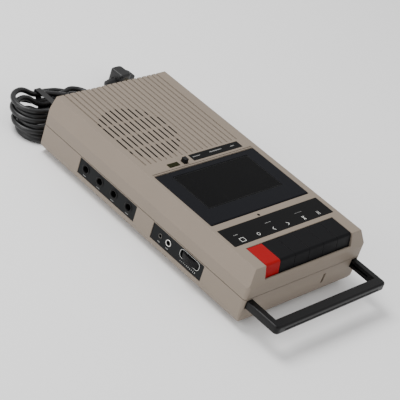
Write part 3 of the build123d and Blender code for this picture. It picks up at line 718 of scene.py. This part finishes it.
# ---- mains cord
@dataclass
class MainsCord:
    """The mains cord: lead out of the case, tied hank and lead to the plug. Lengths are millimetres.

    The hank is laid in rows of two turns, an outer one and an inner one, from the bottom up.
    """

    diameter: float = 5.2
    real_length: float = 1.8
    longest_run: float = 17.0
    tie_at: Point = (-34.0, 295.0, 11.5)
    tie_reach: float = 6.0
    band_outer: Point = (36.0, 22.8, 5.0)
    band_inner: Point = (34.2, 21.2, 4.2)
    band_half: float = 3.2
    band_height: float = 15.9
    rest: float = 2.7
    held_rise: float = 5.3
    left_rise: float = 7.4
    inner_left: float = 3.0
    inner_right: float = 1.2
    slot_and_fold: tuple[Flat, ...] = ((14.0, 18.4), (8.8, 15.8))
    last_fold: float = 16.4
    last_y: float = 298.6
    crossing: Point = (-3.2, 314.0, 16.2)
    descent: Flat = (-7.0, 324.9)
    descent_fold: float = 11.0
    descent_heights: Flat = (15.5, 2.9)
    lead_out: tuple[Point, ...] = (
        (52.0, 283.0, 12.0), (52.4, 291.0, 10.2), (47.5, 301.5, 6.6), (33.0, 306.2, 4.4), (14.0, 305.5, 3.0),
        (-8.0, 303.5, 2.7))
    lead_in: tuple[Point, ...] = (
        (-3.2, 335.9, 2.9), (4.0, 334.9, 2.8), (12.0, 330.0, 2.8), (19.5, 322.5, 2.8), (28.0, 314.0, 2.7),
        (39.0, 310.2, 3.0), (49.5, 313.4, 4.8), (59.5, 320.0, 6.8))
    centres: tuple[float, ...] = (287.5, 291.5, 298.0, 302.0)
    right_centres: tuple[float, ...] = (287.0, 286.0, 284.5, 283.0)
    left_ends: tuple[float, ...] = (-72.0, -71.5, -75.5, -71.0, -74.0, -70.5, -72.0)
    right_ends: tuple[float, ...] = (17.0, 12.0, 18.0, 12.5, 15.5, 11.5, 15.0)
    pieces: list[bpy.types.Object] = field(default_factory=list)

    @staticmethod
    def fold(middle: Flat, radius: float, start: float, end: float, low: float, high: float) -> list[Point]:
        """Six points round an arc, from low to high, so that the spline touches the arc between them."""
        step = (end - start) / 6
        reach = radius / math.cos(math.radians(step / 2))
        turns = [(k + 0.5, math.radians(start + step * (k + 0.5))) for k in range(6)]
        return [(middle[0] + reach * math.cos(a), middle[1] + reach * math.sin(a), low + (high - low) * k / 6)
                for k, a in turns]

    @staticmethod
    def leave(reach: float, slot: float, radius: float) -> float:
        """Angle at which the cord leaves a fold to run straight into the tie."""
        away = math.hypot(reach, slot)
        return math.degrees(math.atan2(slot, reach) + math.acos(min(radius / away, 1.0)))

    def turn(self, index: int) -> list[Point]:
        """Points of one loose turn of the hank, pinched where the tie holds it.

        Args:
            index: Which turn, from the bottom.

        Returns:
            Sixteen points, from the tie round the left fold, through the tie and round the right fold.
        """
        row, inner = divmod(index, 2)
        slot, radius = self.slot_and_fold[inner]
        y, held = self.centres[row], self.rest + self.held_rise * row
        tie, run = self.tie_at[0], self.tie_reach
        left_z = self.rest + self.left_rise * row + self.inner_left * inner
        right_z = held + self.inner_right * inner
        x = self.left_ends[index] + radius
        angle = self.leave(tie - run - x, slot, radius)
        points = [(tie + run, y + slot, held), (tie - run, y + slot, held)]
        points += self.fold((x, y), radius, angle, 360 - angle, left_z, left_z)
        points += [(tie - run, y - slot, held), (tie + run, y - slot, held)]
        if index == len(self.left_ends) - 1:
            x = self.right_ends[index] - self.last_fold
            angle = self.leave(x - tie - run, slot, self.last_fold)
            points += self.fold((x, self.last_y), self.last_fold, angle - 180, 90, right_z, right_z - 1)
            points.append(self.crossing)
            return points + self.fold(self.descent, self.descent_fold, 270, 90, *self.descent_heights)
        x, aside = self.right_ends[index] - radius, self.right_centres[row]
        near = self.leave(x - tie - run, slot + aside - y, radius)
        row, inner = divmod(index + 1, 2)
        far = self.leave(x - tie - run, slot + self.centres[row] - aside, radius)
        above = self.rest + self.held_rise * row + self.inner_right * inner
        return points + self.fold((x, aside), radius, near - 180, 180 - far, right_z, above)

    def build(self) -> None:
        """Make the cord and its tie, and dress the plug and the strain relief."""
        route = list(self.lead_out)
        for index in range(len(self.left_ends)):
            route += self.turn(index)
        route = self.evened(route + list(self.lead_in))
        curve = bpy.data.curves.new("mains_cord", "CURVE")
        curve.dimensions = "3D"
        spline = curve.splines.new("NURBS")
        spline.points.add(len(route) - 1)
        for point, place in zip(spline.points, route):
            point.co = (*at(*place), 1.0)
        spline.order_u = 3
        spline.use_endpoint_u = True
        spline.resolution_u = 6
        curve.bevel_depth = self.diameter * MM / 2
        curve.bevel_resolution = 3
        curve.use_fill_caps = True
        curve.materials.append(Shade.VINYL.material)
        cord = bpy.data.objects.new("mains_cord", curve)
        bpy.context.scene.collection.objects.link(cord)
        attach(cord, "case")
        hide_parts("power_cord", "plug_lead", "cord_hank")
        self.tie()
        dress(Shade.PLUG, "power_plug", "cord_strain_relief")
        dress(Shade.BRASS, "plug_blades")
        tuple(at(*self.lead_out[0]))
        log.info("mains cord: %d route points", len(route))

    def evened(self, route: Sequence[Point]) -> list[Point]:
        """The same route with a point added half-way along each long run."""
        even = [route[0]]
        for point in route[1:]:
            if math.dist(point, even[-1]) > self.longest_run:
                even.append(tuple((a + b) / 2 for a, b in zip(point, even[-1])))
            even.append(point)
        return even

    def tie(self) -> None:
        """A flat vinyl tie pulled round the bundle, leaning as its rows do."""
        lean = (self.centres[-1] - self.centres[0]) / self.band_height
        turn = Matrix(((0, 0, 1, 0), (1, lean, 0, 0), (0, 1, 0, 0), (0, 0, 0, 1)))
        band = flat_piece(
            "cord_band", [(round_box(*self.band_outer), round_box(*self.band_inner))],
            (-self.band_half, self.band_half), Matrix.Translation(at(*self.tie_at)) @ turn, Shade.TIE)
        bevel = band.modifiers.new("soft edge", "BEVEL")
        bevel.width, bevel.segments = 0.0004, 2
        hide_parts("cord_tie")
        self.pieces.append(band)


# ---- case
@dataclass
class Shells:
    """Upper and lower shells, feet, screws, what shows through the openings, and black sheets that paint
    shade into the speaker slots.
    """

    speaker: Flat = (-29.4, 192.0)
    gauze_depth: float = 2.75
    felt_depth: float = 4.6
    felt_radius: float = 30.4
    # Depth of the black sheets that paint shade into the speaker slots.
    cloth_depth: float = 0.35
    microphone: Flat = (-9.6, 58.1)
    microphone_radius: float = 1.38
    microphone_depth: float = 0.15
    seam: Point = (0.0, 131.4, 29.9)
    seam_outer: Point = (144.6, 261.6, 3.2)
    seam_inner: Point = (143.6, 260.6, 2.8)
    grooves: int = 19
    first_groove: float = -57.4
    groove_pitch: float = 6.2
    slot_half: float = 0.98
    shortest_slot: float = 2.5
    slot_circle: float = 36.5
    slot_rows: tuple[Flat, ...] = ((155.0, 172.0), (176.2, 190.0), (194.0, 208.0), (211.4, 229.0))

    def slots(self) -> list[Shape]:
        """Outlines of the black sheets in the speaker slots, which a circle cuts off; the sheets are painted
        shade.
        """
        middle_x, middle_y = self.speaker
        shapes: list[Shape] = []
        for index in range(self.grooves):
            x = self.first_groove + self.groove_pitch * index
            half = math.sqrt(max(self.slot_circle ** 2 - (x - middle_x) ** 2, 0.0))
            left, right = x - self.slot_half, x + self.slot_half
            for start, end in self.slot_rows:
                low, high = max(start, middle_y - half), min(end, middle_y + half)
                if high - low > self.shortest_slot:
                    shapes.append(([(left, low), (right, low), (right, high), (left, high)], ()))
        return shapes

    def build(self) -> None:
        """Dress the shells and add the gauze, the felt, the microphone cloth, the black sheets that paint
        shade into the speaker slots, and the seam's shadow.
        """
        dress(Shade.CASE, "top_case", "bottom_case", "battery_door")
        dress(Shade.RUBBER, "rubber_feet")
        dress(Shade.STEEL, "case_screws")
        mesh = gauze_tree().bake(
            "dust_gauze", on_deck(*self.speaker, -self.gauze_depth),
            Radius=0.0372, Cells=44, Thread=0.0003, Finish=Shade.FELT.material)
        piece("dust_gauze", mesh, Shade.FELT, "case")
        disc, port = circle(self.felt_radius, 64), circle(self.microphone_radius, 24)
        for name, shapes, bottom, place in (
                ("dust_felt", [(disc, ())], -0.2, on_deck(*self.speaker, -self.felt_depth)),
                # Black sheets just inside the speaker slots: painted shade that makes the slots read dark.
                ("slot_cloth", self.slots(), -0.3, on_deck(0.0, 0.0, -self.cloth_depth)),
                ("microphone_cloth", [(port, ())], -0.3, on_deck(*self.microphone, -self.microphone_depth))):
            flat_piece(name, shapes, (bottom, 0.0), place, Shade.FELT)
        flat_piece("seam_shadow", [(round_box(*self.seam_outer), round_box(*self.seam_inner))], (-0.3, 0.3),
                   Matrix.Translation(at(*self.seam)), Shade.SEAM)


# ---- keys and their legend
@dataclass
class Keys:
    """Six piano keys, their shaft and springs, and the printed plate behind them."""

    sign_x: tuple[float, ...] = (-48.4, -29.1, -10.6, 7.3, 27.3, 45.9)
    sign_y: float = 38.6
    size: float = 4.4
    line: float = 0.42
    border: Flat = (5.4, 4.8)
    ring: float = 1.7
    legends: tuple[tuple[float, float, int, float], ...] = (
        (-52.0, 45.6, 3, 2.0), (-12.5, 47.0, 4, 1.4), (24.0, 46.2, 5, 1.1))

    def signs(self) -> dict[str, list[Shape]]:
        """The printed signs from left to right, in millimetres."""
        half, thin = self.size / 2, self.line
        width, height = self.border
        ahead = [(-1.2, -half), (1.4, 0.0), (-1.2, half), (-1.2, half - thin * 1.5), (0.6, 0.0),
                 (-1.2, thin * 1.5 - half)]
        stroke = [(-thin - 1.1, -half), (thin - 1.1, -half), (thin + 1.1, half), (1.1 - thin, half)]
        bar = [(-thin / 2, -half), (thin / 2, -half), (thin / 2, half), (-thin / 2, half)]
        return {
            "record": [(round_box(width, height, 0.3, 2),
                        round_box(width - 2 * thin, height - 2 * thin, 0.2, 2))],
            "play": [(circle(self.ring, 24), circle(self.ring - thin, 24))],
            "rewind": [([(-x, y) for x, y in reversed(ahead)], ())],
            "forward": [(ahead, ())],
            "stop": [(stroke, ()), ([(-x, y) for x, y in reversed(stroke)], ())],
            "pause": [([(x - 0.9, y) for x, y in bar], ()), ([(x + 0.9, y) for x, y in bar], ())],
        }

    def build(self) -> None:
        """Dress the keys and print the signs."""
        dress(Shade.KEY_RED, "record_key")
        dress(Shade.KEY_BLACK, "play_key", "rewind_key", "fast_forward_key", "stop_eject_key", "pause_key")
        dress(Shade.STEEL, "key_shaft", "key_springs")
        dress(Shade.LABEL, "control_label_plate")
        for (name, shapes), x in zip(self.signs().items(), self.sign_x):
            flat_piece(f"sign_{name}", shapes, (0.0, 0.04), on_deck(x, self.sign_y, 0.002), Shade.WHITE_INK)
        row = bar_row_tree()
        for number, (x, y, count, width) in enumerate(self.legends):
            printed_row(row, f"legend_{number}", on_deck(x, y, 0.02), count, 0.0018,
                        (0.0011, 0.001 * width * 0.5), Vary=0.5, Seed=number + 3)


# ---- lid
@dataclass
class Lid:
    """Cassette lid with its smoked window."""

    window: tuple[float, float, float, float] = (-44.9, 43.7, 83.1, 126.9)
    border_outer: Flat = (1.6, 1.2)
    border_inner: Flat = (0.7, 0.8)

    def build(self) -> None:
        """Dress the lid and draw the window's printed border."""
        dress(Shade.LID, "lid_frame")
        dress(Shade.SMOKED, "lid_window")
        dress(Shade.TRIM_BLACK, "cassette_guide_left", "cassette_guide_right")
        dress(Shade.STEEL, "lid_hinge_pins")
        x0, x1, y0, y1 = self.window
        outer, inner = (round_box(x1 - x0 + margin, y1 - y0 + margin, corner, 4)
                        for margin, corner in (self.border_outer, self.border_inner))
        flat_piece("window_border", [(outer, inner)], (0.0, 0.05),
                   on_deck((x0 + x1) / 2, (y0 + y1) / 2, -0.09), Shade.TRIM_BLACK, "lid")


# ---- counter
@dataclass
class Counter:
    """Tape counter: window, frame, numbered drums and reset button."""

    drums: tuple[str, ...] = ("hundreds", "tens", "units")
    radius: float = 4.1
    axis_y: float = 141.9
    axis_z: float = 48.6
    first: float = -38.3
    pitch: float = 3.7
    digit_size: float = 3.3
    mask_x: float = -29.4
    mask_size: Flat = (5.2, 4.6)

    def digit(self, number: int) -> bpy.types.Mesh:
        """Flat mesh of one digit about the origin."""
        words = bpy.data.curves.new(f"digit_{number}", "FONT")
        words.body = str(number)
        words.size = self.digit_size * MM
        words.align_x, words.align_y = "CENTER", "CENTER"
        words.extrude = 0.02 * MM
        words.resolution_u = 3
        holder = bpy.data.objects.new(f"digit_{number}", words)
        bpy.context.scene.collection.objects.link(holder)
        mesh = bpy.data.meshes.new_from_object(holder.evaluated_get(bpy.context.evaluated_depsgraph_get()))
        bpy.data.objects.remove(holder)
        return mesh

    def build(self) -> None:
        """Dress the counter and wrap the digits round the drums."""
        dress(Shade.OLIVE, "counter_window")
        dress(Shade.TRIM_BLACK, "counter_frame", "counter_reset_button")
        flat_piece("counter_mask", [(round_box(*self.mask_size, 0.2, 2), ())], (0.0, 0.04),
                   on_deck(self.mask_x, self.axis_y, 0.005), Shade.TRIM_BLACK)
        dress(Shade.DRUM, *(f"counter_drum_{name}" for name in self.drums))
        digits = [self.digit(number) for number in range(10)]
        for index, name in enumerate(self.drums):
            build = bmesh.new()
            middle = at(self.first + (index + 0.5) * self.pitch, self.axis_y, self.axis_z)
            for number, flat in enumerate(digits):
                copy = flat.copy()
                copy.transform(Matrix.Translation(middle) @ Matrix.Rotation(-math.tau * number / 10, 4, "X")
                               @ Matrix.Translation((0.0, 0.0, (self.radius + 0.03) * MM)))
                build.from_mesh(copy)
            piece(f"digits_{name}", mesh_of(f"digits_{name}", build), Shade.BLACK_INK, f"drum_{name}")


# ---- rear strip
@dataclass
class RearStrip:
    """Printed strip behind the lid."""

    marks: tuple[tuple[float, float, int], ...] = ((-6.5, 144.6, 7), (14.0, 144.6, 12), (40.0, 144.2, 4))

    def build(self) -> None:
        """Dress the strip and print its generic marks."""
        dress(Shade.LABEL, "rear_label_strip")
        row = bar_row_tree()
        for number, (x, y, count) in enumerate(self.marks):
            printed_row(row, f"strip_print_{number}", on_deck(x, y, 0.02), count, 0.0013, (0.0008, 0.0013),
                        Vary=0.45, Seed=11 + number)


# ---- side panels
@dataclass
class SidePanels:
    """Left side: jacks, volume wheel, printed marks."""

    jack_z: float = 21.5
    headphone_y: tuple[float, ...] = (143.5, 163.0, 182.0, 201.0)
    remote_y: float = 101.3
    microphone_y: float = 91.0
    wheel_y: float = 65.0
    outline_z: float = 23.1
    outline_size: Flat = (24.0, 8.6)
    outline_line: float = 0.3
    outline_corner: float = 0.42
    bar: Flat = (0.0006, 0.0009)
    bar_pitch: float = 0.001

    def collar(self, name: str, y: float, inner: float, outer: float, proud: float, shade: Shade) -> None:
        """One turned collar round a jack.

        Args:
            name: Piece name.
            y: Millimetres behind the front face.
            inner: Hole radius in millimetres.
            outer: Outer radius in millimetres.
            proud: How far it stands out of the panel.
            shade: Its finish.
        """
        build = bmesh.new()
        step = (outer - inner) / 4
        lathe(build, ((inner, -0.2), (outer, -0.2), (outer, proud * 0.6), (outer - step, proud),
                      (inner + step, proud), (inner, proud * 0.5)), 36)
        mesh = mesh_of(name, build, facing_left(PANEL_X - 0.02, y, self.jack_z))
        piece(name, mesh, shade, "case", smooth=True)

    def build(self) -> None:
        """Dress the panels and add collars and prints."""
        dress(Shade.PANEL, "side_panel_rear", "side_panel_front")
        dress(Shade.SOCKET, "headphone_jacks", "remote_jack", "microphone_jack", "volume_control_body")
        dress(Shade.HANDLE, "volume_wheel")
        row = bar_row_tree()
        print_x = PANEL_X - 0.02
        for number, y in enumerate(self.headphone_y):
            self.collar(f"jack_collar_{number}", y, 3.25, 4.7, 0.5, Shade.SOCKET)
            printed_row(row, f"jack_print_{number}", facing_left(print_x, y + 1.5, 14.9), 4, self.bar_pitch,
                        self.bar, Vary=0.4, Seed=21 + number)
        self.collar("remote_collar", self.remote_y, 1.6, 2.1, 0.3, Shade.IRON)
        self.collar("microphone_collar", self.microphone_y, 2.35, 3.2, 0.45, Shade.NICKEL)
        for name, y in (("remote_print", self.remote_y), ("microphone_print", self.microphone_y)):
            printed_row(row, name, facing_left(print_x, y + 1.2, 15.6), 3, self.bar_pitch, self.bar,
                        Vary=0.4, Seed=31)
        (width, height), line = self.outline_size, self.outline_line
        corner = height * self.outline_corner
        flat_piece("volume_outline",
                   [(round_box(width, height, corner),
                     round_box(width - 2 * line, height - 2 * line, corner - line))],
                   (0.0, 0.04), facing_left(PANEL_X - 0.003, self.wheel_y, self.outline_z), Shade.WHITE_INK)
        printed_row(row, "volume_scale", facing_left(print_x, self.wheel_y + 9.0, 15.9), 10, 0.002,
                    (0.0003, 0.0007), Shade.WHITE_INK, Growth=0.14)


# ---- mechanism and handle
def dress_rest() -> None:
    """Dress the handle and the mechanism, heads, speaker and electrics inside the case."""
    dress(Shade.STEEL, "chassis_plate", "capstan_shaft", "motor", "head_bridge", "pinch_arm",
          "record_play_head", "battery_contacts")
    dress(Shade.ZINC, "flywheel", "microphone_capsule")
    dress(Shade.BRASS, "motor_pulley")
    dress(Shade.NYLON, "supply_spindle", "takeup_spindle", "erase_head")
    dress(Shade.RUBBER, "pinch_roller", "drive_belt")
    dress(Shade.TRIM_BLACK, "speaker_basket")
    dress(Shade.PULP, "speaker_cone")
    dress(Shade.BOARD, "circuit_board")
    dress(Shade.IRON, "mains_transformer")
    dress(Shade.HANDLE, "carry_handle")


def main() -> None:
    """Build everything in order."""
    logging.basicConfig(level=logging.INFO, format="%(name)s %(message)s")
    studio = Studio()
    studio.camera()
    parts: Iterable[Any] = (
        MainsCord(), studio, Shells(), Keys(), Lid(), Counter(), RearStrip(), SidePanels())
    for part in parts:
        part.build()
        log.info("built %s", type(part).__name__)
    dress_rest()


if __name__ == "__main__":
    main()
